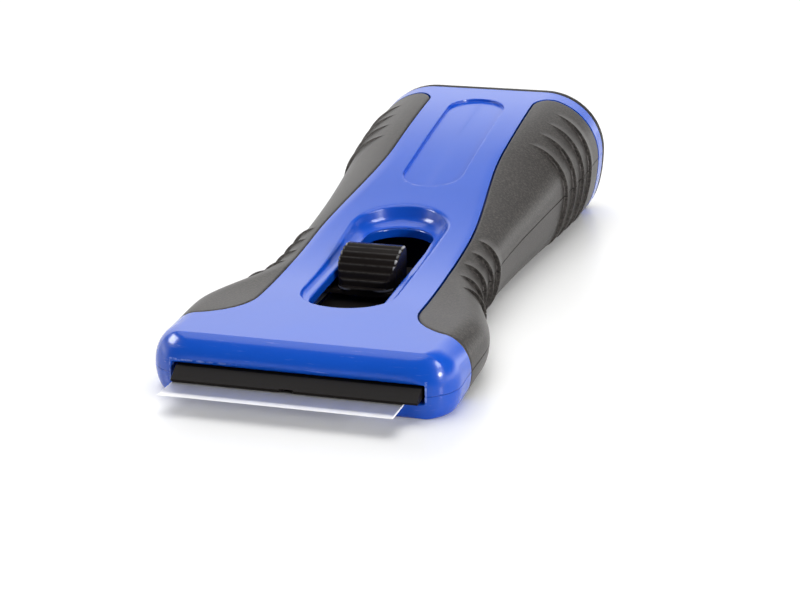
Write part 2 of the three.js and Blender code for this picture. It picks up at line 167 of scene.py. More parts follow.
def smoothOut(piece, angle):
    tidyMesh(piece)
    bpy.ops.object.shade_smooth_by_angle(angle=math.radians(angle))
    even = piece.modifiers.new("Normals", "WEIGHTED_NORMAL")
    even.keep_sharp = True
    return applyAll(piece)


def mirrorOver(piece, name):
    pick(piece)
    bpy.ops.object.duplicate()
    other = added(name)
    for vertex in other.data.vertices:
        vertex.co.x = -vertex.co.x
    return tidyMesh(other, closeEnds=False)


def coat(piece, paint):
    piece.data.materials.clear()
    piece.data.materials.append(paint)


# A piece takes its node's place; one that bends across a joint rides on no single body
def fit(piece, body, paint, node):
    if body:
        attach(piece, body)
    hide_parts(node)
    coat(piece, paint)


# Shader maths: a wire is a socket that can be reckoned with.

class Wire:
    def __init__(self, paint, socket):
        self.paint, self.socket = paint, socket

    def reckon(self, operation, first, second=0.0):
        return self.paint.node("ShaderNodeMath", {"operation": operation}, {0: first, 1: second})

    def __add__(self, other): return self.reckon("ADD", self, other)
    def __radd__(self, other): return self.reckon("ADD", other, self)
    def __sub__(self, other): return self.reckon("SUBTRACT", self, other)
    def __rsub__(self, other): return self.reckon("SUBTRACT", other, self)
    def __mul__(self, other): return self.reckon("MULTIPLY", self, other)
    def __rmul__(self, other): return self.reckon("MULTIPLY", other, self)
    def __gt__(self, other): return self.reckon("GREATER_THAN", self, other)
    def __lt__(self, other): return self.reckon("LESS_THAN", self, other)
    def __abs__(self): return self.reckon("ABSOLUTE", self)


class Paint:
    def __init__(self, name, sockets):
        self.material = bpy.data.materials.new(name)
        self.material.use_nodes = True
        self.tree = self.material.node_tree
        self.shader = self.tree.nodes["Principled BSDF"]
        self.feed(self.shader, sockets)

    def feed(self, made, inputs):
        for key, value in inputs.items():
            if isinstance(value, Wire):
                self.tree.links.new(value.socket, made.inputs[key])
            else:
                made.inputs[key].default_value = value

    def node(self, kind, settings=None, inputs=None, out=0):
        made = self.tree.nodes.new(kind)
        for key, value in (settings or {}).items():
            if key == "stops":
                ramp = made.color_ramp.elements
                while len(ramp) < len(value):
                    ramp.new(0.5)
                for stop, (position, colour) in zip(ramp, value):
                    stop.position, stop.color = position, colour
            else:
                setattr(made, key, value)
        self.feed(made, inputs or {})
        return Wire(self, made.outputs[out])

    def spot(self):
        return self.node("ShaderNodeTexCoord", out="Object")

    def axes(self, spot):
        return [self.node("ShaderNodeSeparateXYZ", None, {0: spot}, axis) for axis in "XYZ"]

    def grain(self, spot, scale, detail=2.0, roughness=0.5):
        inputs = {"Vector": spot, "Scale": scale, "Detail": detail, "Roughness": roughness}
        return self.node("ShaderNodeTexNoise", None, inputs)

    def stretch(self, spot, scale):
        return self.node("ShaderNodeMapping", None, {"Vector": spot, "Scale": scale})

    def span(self, value, low, high, toLow=0.0, toHigh=1.0, shape="LINEAR"):
        inputs = {"Value": value, 1: low, 2: high, 3: toLow, 4: toHigh}
        return self.node("ShaderNodeMapRange", {"interpolation_type": shape}, inputs)

    def fade(self, value, marks):     # from 0 at the first mark to 1 at the second, in mm
        return self.span(value, marks[0] * mm, marks[1] * mm)

    def blend(self, factor, first, second):
        inputs = {0: factor, 6: first, 7: second}
        return self.node("ShaderNodeMix", {"data_type": "RGBA"}, inputs, 2)

    def vector(self, operation, first, second=(0, 0, 0), out=0):
        return self.node("ShaderNodeVectorMath", {"operation": operation}, {0: first, 1: second}, out)

    def bump(self, height, strength, distance):
        inputs = {"Height": height, "Strength": strength, "Distance": distance}
        return self.node("ShaderNodeBump", None, inputs)

    def finish(self, look, colour, roughness, relief):
        normal = self.bump(relief, *look["bump"])
        self.feed(self.shader, {"Base Color": colour, "Roughness": roughness, "Normal": normal})
        return self.material


# The body along its length, in mm from the front of the head

bodyForm = {
    "length": 130.6, "rise": (22, 145), "top": (10.8, 26.3), "seam": (4.2, 13.2),
    "headHalf": 26.8, "headCorner": 6, "lobeHalf": 27.2, "lobeY": 20.5,
    "waistHalf": 20, "waistY": (46, 54), "rearHalf": 25.3,
    "noseDepth": 2.5, "noseHeight": 4.2, "noseTurn": 55,     # curved front below the top edge
    "soleEdge": 1.2, "rearEdge": 0.35, "seamGap": 0.06, "seamEdge": 0.07, "seamBend": 0.3,
    "topRounds": (5, 4.5, 6.5, 13), "baseRounds": (2, 3.8, 3.6, 4.8),
    "roundY": (7, 96), "leastRound": 1.7,
    "shoulderSteps": 22, "flatSteps": 22, "frontSteps": 26, "rearSteps": 5,
    "creaseRings": (-0.12, -0.05, 0, 0.05, 0.12), "ringGap": (0.7, 0.9), "lastRing": 1,
}


def ease(y, y0, a, y1, b):
    t = min(max((y - y0) / (y1 - y0), 0), 1)
    return a + (b - a) * t * t * (3 - 2 * t)


def quarterTurns(steps):
    return [math.radians(90 * k / steps) for k in range(steps + 1)]


def quarterDrop(y, radius):
    short = min(max(radius - y, 0), radius)
    return radius - math.sqrt(radius ** 2 - short ** 2)


def halfWidth(y):
    form = bodyForm
    head = ease(y, form["headCorner"], form["headHalf"], form["lobeY"], form["lobeHalf"])
    waist = ease(y, form["lobeY"], 0, form["waistY"][0], form["waistHalf"] - form["lobeHalf"])
    rear = ease(y, form["waistY"][1], 0, form["length"], form["rearHalf"] - form["waistHalf"])
    return head - quarterDrop(y, form["headCorner"]) + waist + rear


def roundWidth(y, upper):
    form = bodyForm
    head, lobe, waist, rear = form["topRounds" if upper else "baseRounds"]
    front = ease(y, form["roundY"][0], head, form["lobeY"], lobe)
    middle = ease(y, form["lobeY"], 0, form["waistY"][0], waist - lobe)
    return front + middle + ease(y, form["waistY"][1], 0, form["roundY"][1], rear - waist)


def topHeight(y):
    form = bodyForm
    turn = math.radians(form["noseTurn"])
    reach = form["noseDepth"] / (1 - math.cos(turn))
    height = form["noseHeight"] / math.sin(turn)
    drop = 0
    if y < form["noseDepth"]:
        drop = height * (math.sin(turn) - math.sin(math.acos(1 - max(y, 0) / reach)))
    return ease(y, form["rise"][0], form["top"][0], form["rise"][1], form["top"][1]) - drop


def seamHeight(y):
    low, high = bodyForm["seam"]
    return low + (high - low) * y / bodyForm["length"]


# A point of the skin at an angle up or down from the seam: across, height
def skin(y, angle, upper, inset=0):
    seam = seamHeight(y)
    height = (topHeight(y) - seam if upper else seam - quarterDrop(y, bodyForm["soleEdge"])) - inset
    turn = max(roundWidth(y, upper) - inset, bodyForm["leastRound"])
    rise = height * math.sin(angle) * (1 if upper else -1)
    return halfWidth(y) - inset - turn + turn * math.cos(angle), seam + rise


# One ring of half the body: up one side, over the flat and down the other, closed along the seam
def halfRing(y, upper, inset=0):
    side = 1 if upper else -1
    gap, edge = bodyForm["seamGap"] / 2, bodyForm["seamEdge"]
    bend = edge * bodyForm["seamBend"]
    seam, flats = seamHeight(y), bodyForm["flatSteps"]
    wide, _ = skin(y, 0, upper, inset)
    right = [(wide - edge, seam + side * gap), (wide - bend, seam + side * (gap + bend)),
             (wide, seam + side * (gap + edge))]
    right += [skin(y, turn, upper, inset) for turn in quarterTurns(bodyForm["shoulderSteps"])[1:]]
    reach, level = right[-1]
    flat = [(reach * (1 - 2 * k / flats), level) for k in range(1, flats)]
    return [(x, y, z) for x, z in right + flat + [(-x, z) for x, z in reversed(right)]]


# One ring of the whole outline, set in: from the sole up one side, over the top and down the other
def wholeRing(y, inset, at=None, steps=18):
    turns = quarterTurns(steps)
    right = [skin(y, turn, False, inset) for turn in turns[:0:-1]]
    right += [skin(y, turn, True, inset) for turn in turns]
    at = y if at is None else at
    return [(x, at, z) for x, z in right + [(-x, z) for x, z in reversed(right)]]


def bodyStations():
    corner, nose, length = bodyForm["headCorner"], bodyForm["noseDepth"], bodyForm["length"]
    (first, gap), last = bodyForm["ringGap"], length - bodyForm["lastRing"]
    front = [corner * (1 - math.cos(turn)) for turn in quarterTurns(bodyForm["frontSteps"])]
    crease = [nose + away for away in bodyForm["creaseRings"]]
    middle = list(np.arange(corner + first, last, gap))
    return sorted(set(round(y, 4) for y in front + crease + middle + [last]))


def halfBody(name, upper):
    edge, length = bodyForm["rearEdge"], bodyForm["length"]
    rings = [halfRing(y, upper) for y in bodyStations()]
    for turn in quarterTurns(bodyForm["rearSteps"]):
        ring = halfRing(length, upper, edge * (1 - math.cos(turn)))
        rings.append([(x, length - edge * (1 - math.sin(turn)), z) for x, _, z in ring])
    return layRings(name, rings)


upperShell = halfBody("upperShell", True)
lowerShell = halfBody("lowerShell", False)
print("outer halves:", len(upperShell.data.polygons), len(lowerShell.data.polygons), "faces")


# Grips: sections of the skin between the seam and the blue edge, lofted along the handle

gripForm = {
    "innerWaist": 14.7, "innerRear": 11.3, "taper": (54, 96), "front": 11.3, "frontRound": 11.7,
    "rear": 126.5, "rearRound": 5, "gap": 0.22, "roll": 0.5, "seamRoll": 0.16,
    "depth": 1.2, "pocket": 1.5,
    "lean": 12, "leanFrom": (22, 32), "leanTo": (119, 124.4),
    "ridges": [36 + 5.1 * k for k in range(5)] + [100 + 5.7 * k for k in range(4)],
    "ridgeHeight": 0.8, "ridgeRise": 0.36, "ridgeFall": 4.2, "ridgeTip": 66,
    "ridgeTaper": (0.5, 0.35), "ridgePower": (1.5, 1.7, 0.8),     # towards the tips; the profile's curves
    "over": 6, "bendSteps": 40, "cornerSteps": 24,     # the edge's plan runs past the side
    "sectionSteps": (90, 30), "leanRounds": 4,     # around the shoulder, then across the flat
    "seamDrop": 0.03, "seamEase": (0.7, 0.4, 0.2),
    "pocketLift": 3.0, "pocketDrop": -1.5,     # the pocket's cutter reaches past the skin
}

# Where rings lie along a grip, and points along a ring: mm from a ridge, an end, the seam or the edge
gripRows = {
    "ridge": (-0.62, -0.52, -0.42, -0.33, -0.25, -0.17, -0.1, -0.05, 0, 0.05, 0.11, 0.2, 0.32, 0.5,
              0.72, 1, 1.4, 1.9, 2.5, 3.1, 3.7),
    "end": (0.004, 0.03, 0.08, 0.16, 0.26, 0.38, 0.5, 0.7, 1, 1.4),
    "plain": (2, 1.2), "plainGap": 0.8, "pocketGap": 1.6, "ridgeMiddle": 1.5, "ridgeClear": 2.4,
    "seam": (0.0, 0.05, 0.11, 0.18), "middle": (0.3, 0.55),
    "edge": (0.44, 0.33, 0.23, 0.14, 0.07, 0.02, 0), "middleCount": 30, "pocketCount": 14,
}


def gripInner(y):
    (start, end), waist, rear = gripForm["taper"], gripForm["innerWaist"], gripForm["innerRear"]
    return ease(y, start, waist, end, rear)


# The plan of the grip's edge: across, along
def gripEdge(gap):
    form = gripForm
    bendY, endY = form["front"] + form["frontRound"], form["rear"] - form["rearRound"]
    head = bodyForm["headHalf"]
    wide = head - gripInner(bendY) - gap
    bend = [(head + form["over"], form["front"] + gap)]
    for turn in quarterTurns(form["bendSteps"]):
        bend.append((head - wide * math.sin(turn), bendY - (form["frontRound"] - gap) * math.cos(turn)))
    inner = [(gripInner(y) + gap, y) for y in np.arange(bendY + 1, endY, 1)]
    rearX, reach = gripInner(endY) + form["rearRound"], form["rearRound"] - gap
    corner = [(rearX - reach * math.cos(turn), endY + reach * math.sin(turn))
              for turn in quarterTurns(form["cornerSteps"])]
    return np.array(bend + inner + corner + [(head + form["over"], form["rear"] - gap)])


def edgeAcross(edge, y):
    return float(np.interp(y, edge[:, 1], edge[:, 0]))


def edgeDistance(edge, points):
    start, step = edge[:-1], edge[1:] - edge[:-1]
    away = points[:, None, :] - start[None]
    share = np.clip((away * step).sum(-1) / (step ** 2).sum(-1), 0, 1)
    return np.sqrt(((away - share[..., None] * step) ** 2).sum(-1)).min(1)


def gripLean(y):
    form = gripForm
    rising = ease(y, form["leanFrom"][0], 0, form["leanFrom"][1], 1)
    fading = ease(y, form["leanTo"][0], 1, form["leanTo"][1], 0)
    return math.tan(math.radians(form["lean"])) * rising * fading


def ridgeAt(y, angle):
    form = gripForm
    swell = max(0, 1 - (angle / math.radians(form["ridgeTip"])) ** 2)
    (shortRise, shortFall), (front, back, tip) = form["ridgeTaper"], form["ridgePower"]
    rise = form["ridgeRise"] * (shortRise + (1 - shortRise) * swell)
    fall = form["ridgeFall"] * (shortFall + (1 - shortFall) * swell)
    best = 0
    for ridge in form["ridges"]:
        away = y - ridge
        if -rise < away <= 0:
            best = max(best, math.sin((away / rise + 1) * math.pi / 2) ** front)
        elif 0 < away < fall:
            best = max(best, (1 - away / fall) ** back)
    return form["ridgeHeight"] * best * swell ** tip


# One leaning section from the seam to the blue edge: points of the skin and their angles
def gripSection(y, upper, edge):
    lean, (around, flat) = gripLean(y), gripForm["sectionSteps"]
    line = []
    for k in range(around + flat + 1):
        angle = math.radians(90 * min(k, around) / around)
        at = y
        for _ in range(gripForm["leanRounds"]):
            x, z = skin(at, angle, upper)
            at = y + (z - seamHeight(at)) * lean
        if k > around:
            x = x * (1 - (k - around) / flat)
        line.append((x, at, z, angle))
        if k > 3 and x < edgeAcross(edge, at):
            break
    line = np.array(line)
    if len(line) > 4:
        over = [p[0] - edgeAcross(edge, p[1]) for p in line[-2:]]
        share = over[0] / max(over[0] - over[1], 1e-6)
        line[-1] = line[-2] + (line[-1] - line[-2]) * min(max(share, 0), 1)
    return line


def gripRings(upper, gap, dressed):
    form, rows = gripForm, gripRows
    side = 1 if upper else -1
    edge = gripEdge(gap)
    ends = [gap + t for t in rows["end"]]
    stations = [form["front"] + t for t in ends] + [form["rear"] - t for t in ends]
    first, last = form["front"] + rows["plain"][0], form["rear"] - rows["plain"][1]
    if dressed:
        middle, clear = rows["ridgeMiddle"], rows["ridgeClear"]
        stations += [y for y in np.arange(first, last, rows["plainGap"])
                     if min(abs(y - r - middle) for r in form["ridges"]) > clear]
        stations += [y + d for y in form["ridges"] for d in rows["ridge"]]
    else:
        stations += list(np.arange(first, last, rows["pocketGap"]))
    stations.sort()
    rings = []
    for y in stations:
        line = gripSection(y, upper, edge)
        length = np.concatenate([[0], np.cumsum(np.linalg.norm(np.diff(line[:, :3], axis=0), axis=1))])
        total = length[-1]
        near = min(1, total / 2)
        start, stop = rows["middle"][0] * near, total - rows["middle"][1] * near
        marks = [t * near for t in rows["seam"]]
        marks += list(np.linspace(start, stop, rows["middleCount" if dressed else "pocketCount"]))
        marks += [total - t * near for t in rows["edge"]]
        points = np.stack([np.interp(marks, length, line[:, k]) for k in range(4)], 1)
        ahead = np.gradient(points[:, [0, 2]], axis=0)
        outward = np.stack([ahead[:, 1], -ahead[:, 0]], 1) * side
        outward /= np.maximum(np.linalg.norm(outward, axis=1, keepdims=True), 1e-9)
        outward[0] = (1, 0)
        if dressed:
            far = edgeDistance(edge, points[:, :2])
            lift = np.array([ridgeAt(y, a) for a in points[:, 3]])
            lift -= [quarterDrop(d, form["roll"]) for d in far]
            lift -= [quarterDrop(d, form["seamRoll"]) for d in marks]
            deep, drop = form["depth"], bodyForm["seamGap"] / 2 + form["seamDrop"]
        else:
            lift = np.full(len(points), form["pocketLift"])
            deep, drop = form["pocket"], form["pocketDrop"]
        outer = points[:, :3].copy()
        outer[:, [0, 2]] += outward * lift[:, None]
        inner = points[:, :3].copy()
        inner[:, [0, 2]] -= outward * deep
        outer[0, 2] = inner[0, 2] = seamHeight(y) + side * drop
        outer[1:4, 2] += side * (drop if dressed else 0) * np.array(form["seamEase"])
        rings.append(np.concatenate([outer, inner[::-1]]))
    return rings


gripPieces = {}
for half, upper in (("upper", True), ("lower", False)):
    right = layRings(half + "GripRight", gripRings(upper, gripForm["gap"], True))
    gripPieces[half + "_grip_right"] = right
    gripPieces[half + "_grip_left"] = mirrorOver(right, half + "GripLeft")
    shell = upperShell if upper else lowerShell
    pocket = layRings("pocket", gripRings(upper, 0, False))
    carve(shell, mirrorOver(pocket, "pocketLeft"))
    carve(shell, pocket)
print("grips:", [len(piece.data.polygons) for piece in gripPieces.values()], "faces")


# Hollows: the slot at the front, the slide's channel, the thumb well, the label panel and the rear store

hollowForm = {
    "slotHalf": 22, "slotZ": (2.9, 5.9), "slotRear": 25.3, "slotCorner": (0.3, 0.1),
    "mouthRound": 0.9, "mouthTurn": 78, "mouthSteps": 8, "mouthOver": (-0.15, 0.8),
    "mouthGrow": (0.2, 0.3, 0.9),     # the slot's mouth: at its ends, below and above
    "channelHalf": 9.7, "channelY": (2.7, 74.3), "channelZ": (3.35, 8),
    "ledgeWall": (1.6, 1.85), "underFront": 26,     # wall left below the ledge, front and rear
    "storeFront": 77, "storeInset": 3.2, "storeStep": 3,
}


def rectRing(half, z0, z1, y, corner):
    points = []
    for sx, sz, start in ((1, -1, -90), (1, 1, 0), (-1, 1, 90), (-1, -1, 180)):
        cx = sx * (half - corner)
        cz = z1 - corner if sz > 0 else z0 + corner
        for k in range(7):
            turn = math.radians(start + 15 * k)
            points.append((cx + corner * math.cos(turn), y, cz + corner * math.sin(turn)))
    return points


def slotCutter():
    form = hollowForm
    z0, z1 = form["slotZ"]
    ends, below, above = form["mouthGrow"]
    (corner, cornerGrow), (overY, overGrow) = form["slotCorner"], form["mouthOver"]
    path, steps = [], form["mouthSteps"]
    for k in range(steps + 1):
        turn = math.radians(form["mouthTurn"] * (1 - k / steps))
        path.append((form["mouthRound"] * (1 - math.sin(turn)), 1 - math.cos(turn)))
    path = [(overY, path[0][1] + overGrow)] + path + [(form["slotRear"], 0)]
    rings = []
    for y, grow in path:
        half, low, high = form["slotHalf"] + ends * grow, z0 - below * grow, z1 + above * grow
        rings.append(rectRing(half, low, high, y, corner + cornerGrow * grow))
    return layRings("slotCut", rings)


def channelCutters():
    form = hollowForm
    (y0, y1), (z0, z1), half = form["channelY"], form["channelZ"], form["channelHalf"]
    front, wall = form["underFront"], form["ledgeWall"]
    under = [(front, z0), (y1, z0),
             (y1, ledgeHeight(y1) - wall[1]), (front, ledgeHeight(front) - wall[0])]
    channel = addBlock("channelCut", -half, half, y0, y1, z0, z1)
    return [channel, drawAcross("underCut", under, -half, half)]


def storeCutter():
    form, length, step = hollowForm, bodyForm["length"], hollowForm["storeStep"]
    stations = list(np.arange(form["storeFront"], length - 2, step)) + [length + step]
    return layRings("storeCut", [wholeRing(y, form["storeInset"], steps=12) for y in stations])


# Thumb well: the opening and its rounded edge, the ledge, the wall's scooped foot and its soft lip

wellForm = {
    "opening": (6.7, 21.5, 66.1), "openingEdge": 0.45, "recess": (8.4, 21, 68), "draft": 0.35,
    "ledge": (9.6, 0.057), "foot": 2.5, "lip": 0.8, "bottom": 7,
    "fullDepth": 2.4, "leastDepth": 0.05,     # foot and lip shrink where the well is shallower
    "frontGrow": 0.6, "frontOut": 0.4,     # both widen less towards the front
    "edgeSteps": 6, "footSteps": 7, "lipSteps": 8, "above": ((0.5, 0.09), (0.6, 6)),
}


def stadium(half, y0, y1, arc=28, side=44):
    low, high = y0 + half, y1 - half
    points = []
    for first, last, sign, turned in ((low, high, 1, math.pi), (high, low, -1, 0)):
        for k in range(arc + 1):
            turn = turned + math.pi * k / arc
            across, along = math.cos(turn), math.sin(turn)
            points.append((half * across, first + half * along, across, along))
        points += [(sign * half, first + (last - first) * k / side, sign, 0) for k in range(1, side)]
    return points


def ledgeHeight(y):
    return wellForm["ledge"][0] + wellForm["ledge"][1] * (y - wellForm["opening"][1])


def wellDepth(y):
    return max(topHeight(y) - ledgeHeight(y), wellForm["leastDepth"])


def wellCutter():
    form = wellForm
    half, y0, y1 = form["opening"]
    edge = form["openingEdge"]
    rings = [[(x, y, form["bottom"]) for x, y, _, _ in stadium(half, y0, y1)]]
    for turn in quarterTurns(form["edgeSteps"]):
        grow = edge * (1 - math.cos(turn))
        ring = stadium(half + grow, y0 - grow * form["frontGrow"], y1 + grow)
        rings.append([(x, y, ledgeHeight(y) - edge + edge * math.sin(turn)) for x, y, _, _ in ring])
    half, y0, y1 = form["recess"]
    base = stadium(half, y0, y1)
    lean = math.atan(form["draft"])
    tangent = math.tan((math.pi / 2 - lean) / 2)

    def wall(mark):
        ring = []
        for x, y, across, along in base:
            deep = wellDepth(y)
            scale = min(1, deep / form["fullDepth"])
            foot, lip = form["foot"] * scale, form["lip"] * scale
            if mark <= 1:
                turn = mark * (math.pi / 2 - lean)
                out, up = -foot * tangent + foot * math.sin(turn), foot * (1 - math.cos(turn))
            else:
                turn = (2 - mark) * (math.pi / 2 - lean)
                out = form["draft"] * deep + lip * tangent - lip * math.sin(turn)
                up = deep - lip + lip * math.cos(turn)
            px, py = x + across * out, y + along * out * (1 if along > 0 else form["frontOut"])
            ring.append((px, py, ledgeHeight(py) + up * wellDepth(py) / deep, across, along))
        return ring

    footSteps, lipSteps = form["footSteps"], form["lipSteps"]
    walls = [wall(k / footSteps) for k in range(footSteps + 1)]
    walls += [wall(1 + k / lipSteps) for k in range(lipSteps)]
    rings += [[point[:3] for point in ring] for ring in walls]
    for out, up in form["above"]:
        rings.append([(x + a * out, y + b * out, z + up) for x, y, z, a, b in walls[-1]])
    return layRings("wellCut", rings)


panelForm = {
    "half": 6.1, "y": (78, 123.4), "depth": 0.6, "edge": 0.13, "edgeSteps": 5,
    "floorShares": (0.003, 0.25, 0.5, 0.75, 1),     # the floor's rings, out from its middle
    "footTurn": 16, "lipTurn": (80, 13.5), "above": ((0.25, -0.05), (0.3, -5)),
}


def panelCutter():
    form = panelForm
    half, edge, depth = form["half"], form["edge"], form["depth"]
    lipFrom, lipStep = form["lipTurn"]
    path = [(half - edge, depth, share) for share in form["floorShares"]]
    for k in range(1, form["edgeSteps"] + 1):
        turn = math.radians(form["footTurn"] * k)
        path.append((half - edge + edge * math.sin(turn), depth - edge * (1 - math.cos(turn)), 1))
    for k in range(1, form["edgeSteps"] + 1):
        turn = math.radians(lipFrom - lipStep * k)
        path.append((half + edge - edge * math.sin(turn), edge * (1 - math.cos(turn)), 1))
    path += [(half + edge + out, sunk, 1) for out, sunk in form["above"]]
    rings = []
    for reach, sunk, share in path:
        grow = reach - half
        ring = stadium(reach, form["y"][0] - grow, form["y"][1] + grow)
        rings.append([(x * share, y, topHeight(y) - sunk) for x, y, _, _ in ring])
    return layRings("panelCut", rings)


screwForm = {
    "places": [(12, 56.5), (-12, 56.5), (7.5, 79.5), (-7.5, 79.5)],
    "hole": 1.32, "holeZ": (-1, 8), "bore": 2.05, "boreFrom": -3, "seat": 4,     # holeZ is from the seat
}


def screwCutters(x, y):
    form = screwForm
    seat = seamHeight(y) - form["seat"]
    hole = addRod("screwCut", form["hole"], x, y, seat + form["holeZ"][0], seat + form["holeZ"][1])
    return carve(hole, addRod("boreCut", form["bore"], x, y, form["boreFrom"], seat), "UNION")


for shell in (upperShell, lowerShell):
    carve(shell, slotCutter())
    for cutter in channelCutters():
        carve(shell, cutter)
    carve(shell, storeCutter())
    for spot in screwForm["places"]:
        carve(shell, screwCutters(*spot))
carve(upperShell, wellCutter())
carve(upperShell, panelCutter())
smoothOut(upperShell, 28)
smoothOut(lowerShell, 28)
for piece in gripPieces.values():
    smoothOut(piece, 50)
print("shells cut:", len(upperShell.data.polygons), len(lowerShell.data.polygons), "faces")


# Blade: a thin plate whose front edge is ground down on both faces

drift = -0.8     # mm: the slide lies a little to the left
bladeForm = {
    "width": 40, "depth": 20, "thickness": 0.3, "reach": 8.4, "bottom": 3.25, "edge": 0.02,
    "grind": 1.1, "hole": 1.9, "holeX": 10, "holeY": 4.2, "cutZ": (0, 6), "round": 0.03,
}


def makeBlade():
    form = bladeForm
    low, high = form["bottom"], form["bottom"] + form["thickness"]
    middle, front, half = (low + high) / 2, -form["reach"], form["edge"] / 2
    ground, back = front + form["grind"], front + form["depth"]
    outline = [(front, middle - half), (ground, low), (back, low),
               (back, high), (ground, high), (front, middle + half)]
    blade = drawAcross("scraperBlade", outline, drift - form["width"] / 2, drift + form["width"] / 2)
    for side in (1, -1):
        x = drift + side * form["holeX"]
        carve(blade, addRod("bladeHole", form["hole"], x, form["holeY"], *form["cutZ"]))
    soften(blade, form["round"], 2, 60)
    return smoothOut(blade, 8)


# Carrier: the black bar in the slot with its sloped nose, the tongue, the post and the pegs

carrierForm = {
    "x": (-21.05, 21.6), "depth": 13, "nose": 2.5, "noseEdge": 0.35, "z": (3.65, 5.6),
    "tongueHalf": 7.1, "tongueY": (2, 62), "post": (43.74, 1.8, 8.8), "postRoot": 0.5,
    "pegs": (10, 4.2, 1.6), "pegZ": (3.25, 4.4), "leafPegs": (3.5, 17.5, 1), "leafPegZ": (4.4, 6.5),
    "relief": (1.25, 0.45), "edge": 0.2,
}


def makeCarrier():
    form = carrierForm
    z0, z1 = form["z"]
    outline = [(-form["nose"], z0), (form["depth"], z0), (form["depth"], z1), (0, z1),
               (-form["nose"], z0 + form["noseEdge"])]
    bar = drawAcross("bladeCarrier", outline, *form["x"])
    carve(bar, addRod("reliefCut", form["relief"][0], drift, -form["nose"], 0, z0 + form["relief"][1]))
    half = form["tongueHalf"]
    carve(bar, addBlock("tongue", drift - half, drift + half, *form["tongueY"], z0, z1), "UNION")
    y, half, top = form["post"]
    root = z0 + form["postRoot"]
    carve(bar, addBlock("post", drift - half, drift + half, y - half, y + half, root, top), "UNION")
    soften(bar, form["edge"], 3, 30)
    for kind in ("peg", "leafPeg"):
        x, y, radius = form[kind + "s"]
        for side in (1, -1):
            carve(bar, addRod(kind, radius, drift + side * x, y, *form[kind + "Z"]), "UNION")
    return smoothOut(bar, 30)


# Lock leaf: a root on the carrier's pegs, and two sprung arms with a tab each, which the button bends

leafForm = {
    "half": 8.6, "root": (15, 20), "z": (5.7, 6.1), "hole": 1.2,
    "arm": 1.2, "armSteps": 20, "rise": 0.5, "tab": (50.5, 8.8), "bend": (21, 39),
}


def makeLeaf():
    form = leafForm
    (low, high), (front, rear), (tabY, tabTop) = form["z"], form["root"], form["tab"]
    thick, half = high - low, form["half"]
    leaf = addBlock("lockLeaf", drift - half, drift + half, front, rear, low, high)
    pegX, pegY, _ = carrierForm["leafPegs"]
    for side in (1, -1):
        carve(leaf, addRod("pegHole", form["hole"], drift + side * pegX, pegY, 0, tabTop))
    shares = [k / form["armSteps"] for k in range(form["armSteps"] + 1)]
    line = [(rear - thick + (tabY - rear + thick) * share, form["rise"] * share) for share in shares]
    outline = [(y, low + lift) for y, lift in line]
    outline += [(tabY + thick, low + form["rise"]), (tabY + thick, tabTop), (tabY, tabTop)]
    outline += [(y, high + lift) for y, lift in reversed(line)]
    for side in (1, -1):
        across = sorted((drift + side * (half - form["arm"]), drift + side * half))
        carve(leaf, drawAcross("arm", outline, *across), "UNION")
    return smoothOut(leaf, 30)


# Thumb button: a quarter round with ribs across it, on a thin flange

buttonForm = {
    "half": 5.6, "rear": 49, "radius": 8.7, "centre": (47.1, 5.7), "bottom": 6.9,
    "corner": (3.9, 4.6), "sideEdge": 0.4, "blend": 0.5,     # plan of the front corners, and their edges
    "ribs": 7, "ribHeight": 0.5, "lastAngle": 18,
    "ribShape": [(0, 0.1), (0.05, 0), (0.1, 0.02), (0.3, 0.3), (0.5, 0.62), (0.66, 0.9), (0.72, 0.98),
                 (0.79, 1), (0.86, 0.8), (0.93, 0.42)],
    "lipShape": [(0, 0), (-0.03, -0.2), (0.06, -0.42), (0.3, -0.55)], "footBack": 0.36, "footTop": 0.8,
    "backShape": [(0, 1.1), (0.25, 0.45), (0.8, 0.1)],
    "sideRings": [0, 0.015, 0.05, 0.11, 0.19, 0.29, 0.4] + [0.4 + 0.2 * k for k in range(1, 19)] + [4.6],
    "flangeHalf": 8.6, "flange": 0.8, "flangeInset": 0.3, "flangeEdge": 0.15,
    "socket": 2.1, "socketTop": 10.1,
}


# One section of the button at a distance from its side: ribs, lip, set-back foot and rear
def buttonSection(inward):
    form = buttonForm
    centreY, centreZ = form["centre"]
    across, along = form["corner"]
    short = max(0, 1 - inward / across)
    shrink = quarterDrop(inward, form["sideEdge"])
    step = (90 - form["lastAngle"]) / form["ribs"]
    crown = []
    for k in range(form["ribs"]):
        for share, sunk in form["ribShape"]:
            angle = math.radians(90 - (k + share) * step)
            radius = form["radius"] - form["ribHeight"] * sunk - shrink
            crown.append((centreY - radius * math.cos(angle), centreZ + radius * math.sin(angle)))
    low = math.radians(form["lastAngle"])
    lipY, lipZ = centreY - form["radius"] * math.cos(low), centreZ + form["radius"] * math.sin(low)
    lip = [(lipY + y, lipZ + z) for y, z in form["lipShape"]]
    setBack = form["footBack"]
    foot = [(lipY + setBack, lipZ - form["footTop"]), (lipY + setBack, form["bottom"])]
    wall = lipY - form["blend"] + along * (1 - math.sqrt(1 - short ** 2))

    def behind(y, limit):
        near = max(form["blend"] - abs(y - limit), 0) / form["blend"]
        return max(y, limit) + near ** 2 * form["blend"] / 4

    front = [(behind(y, wall), z) for y, z in crown + lip]
    front += [(behind(y, wall + setBack), z) for y, z in foot]
    back, top = form["rear"] - shrink, crown[0][1]
    return front + [(back, form["bottom"])] + [(back - y, top - z) for y, z in form["backShape"]]


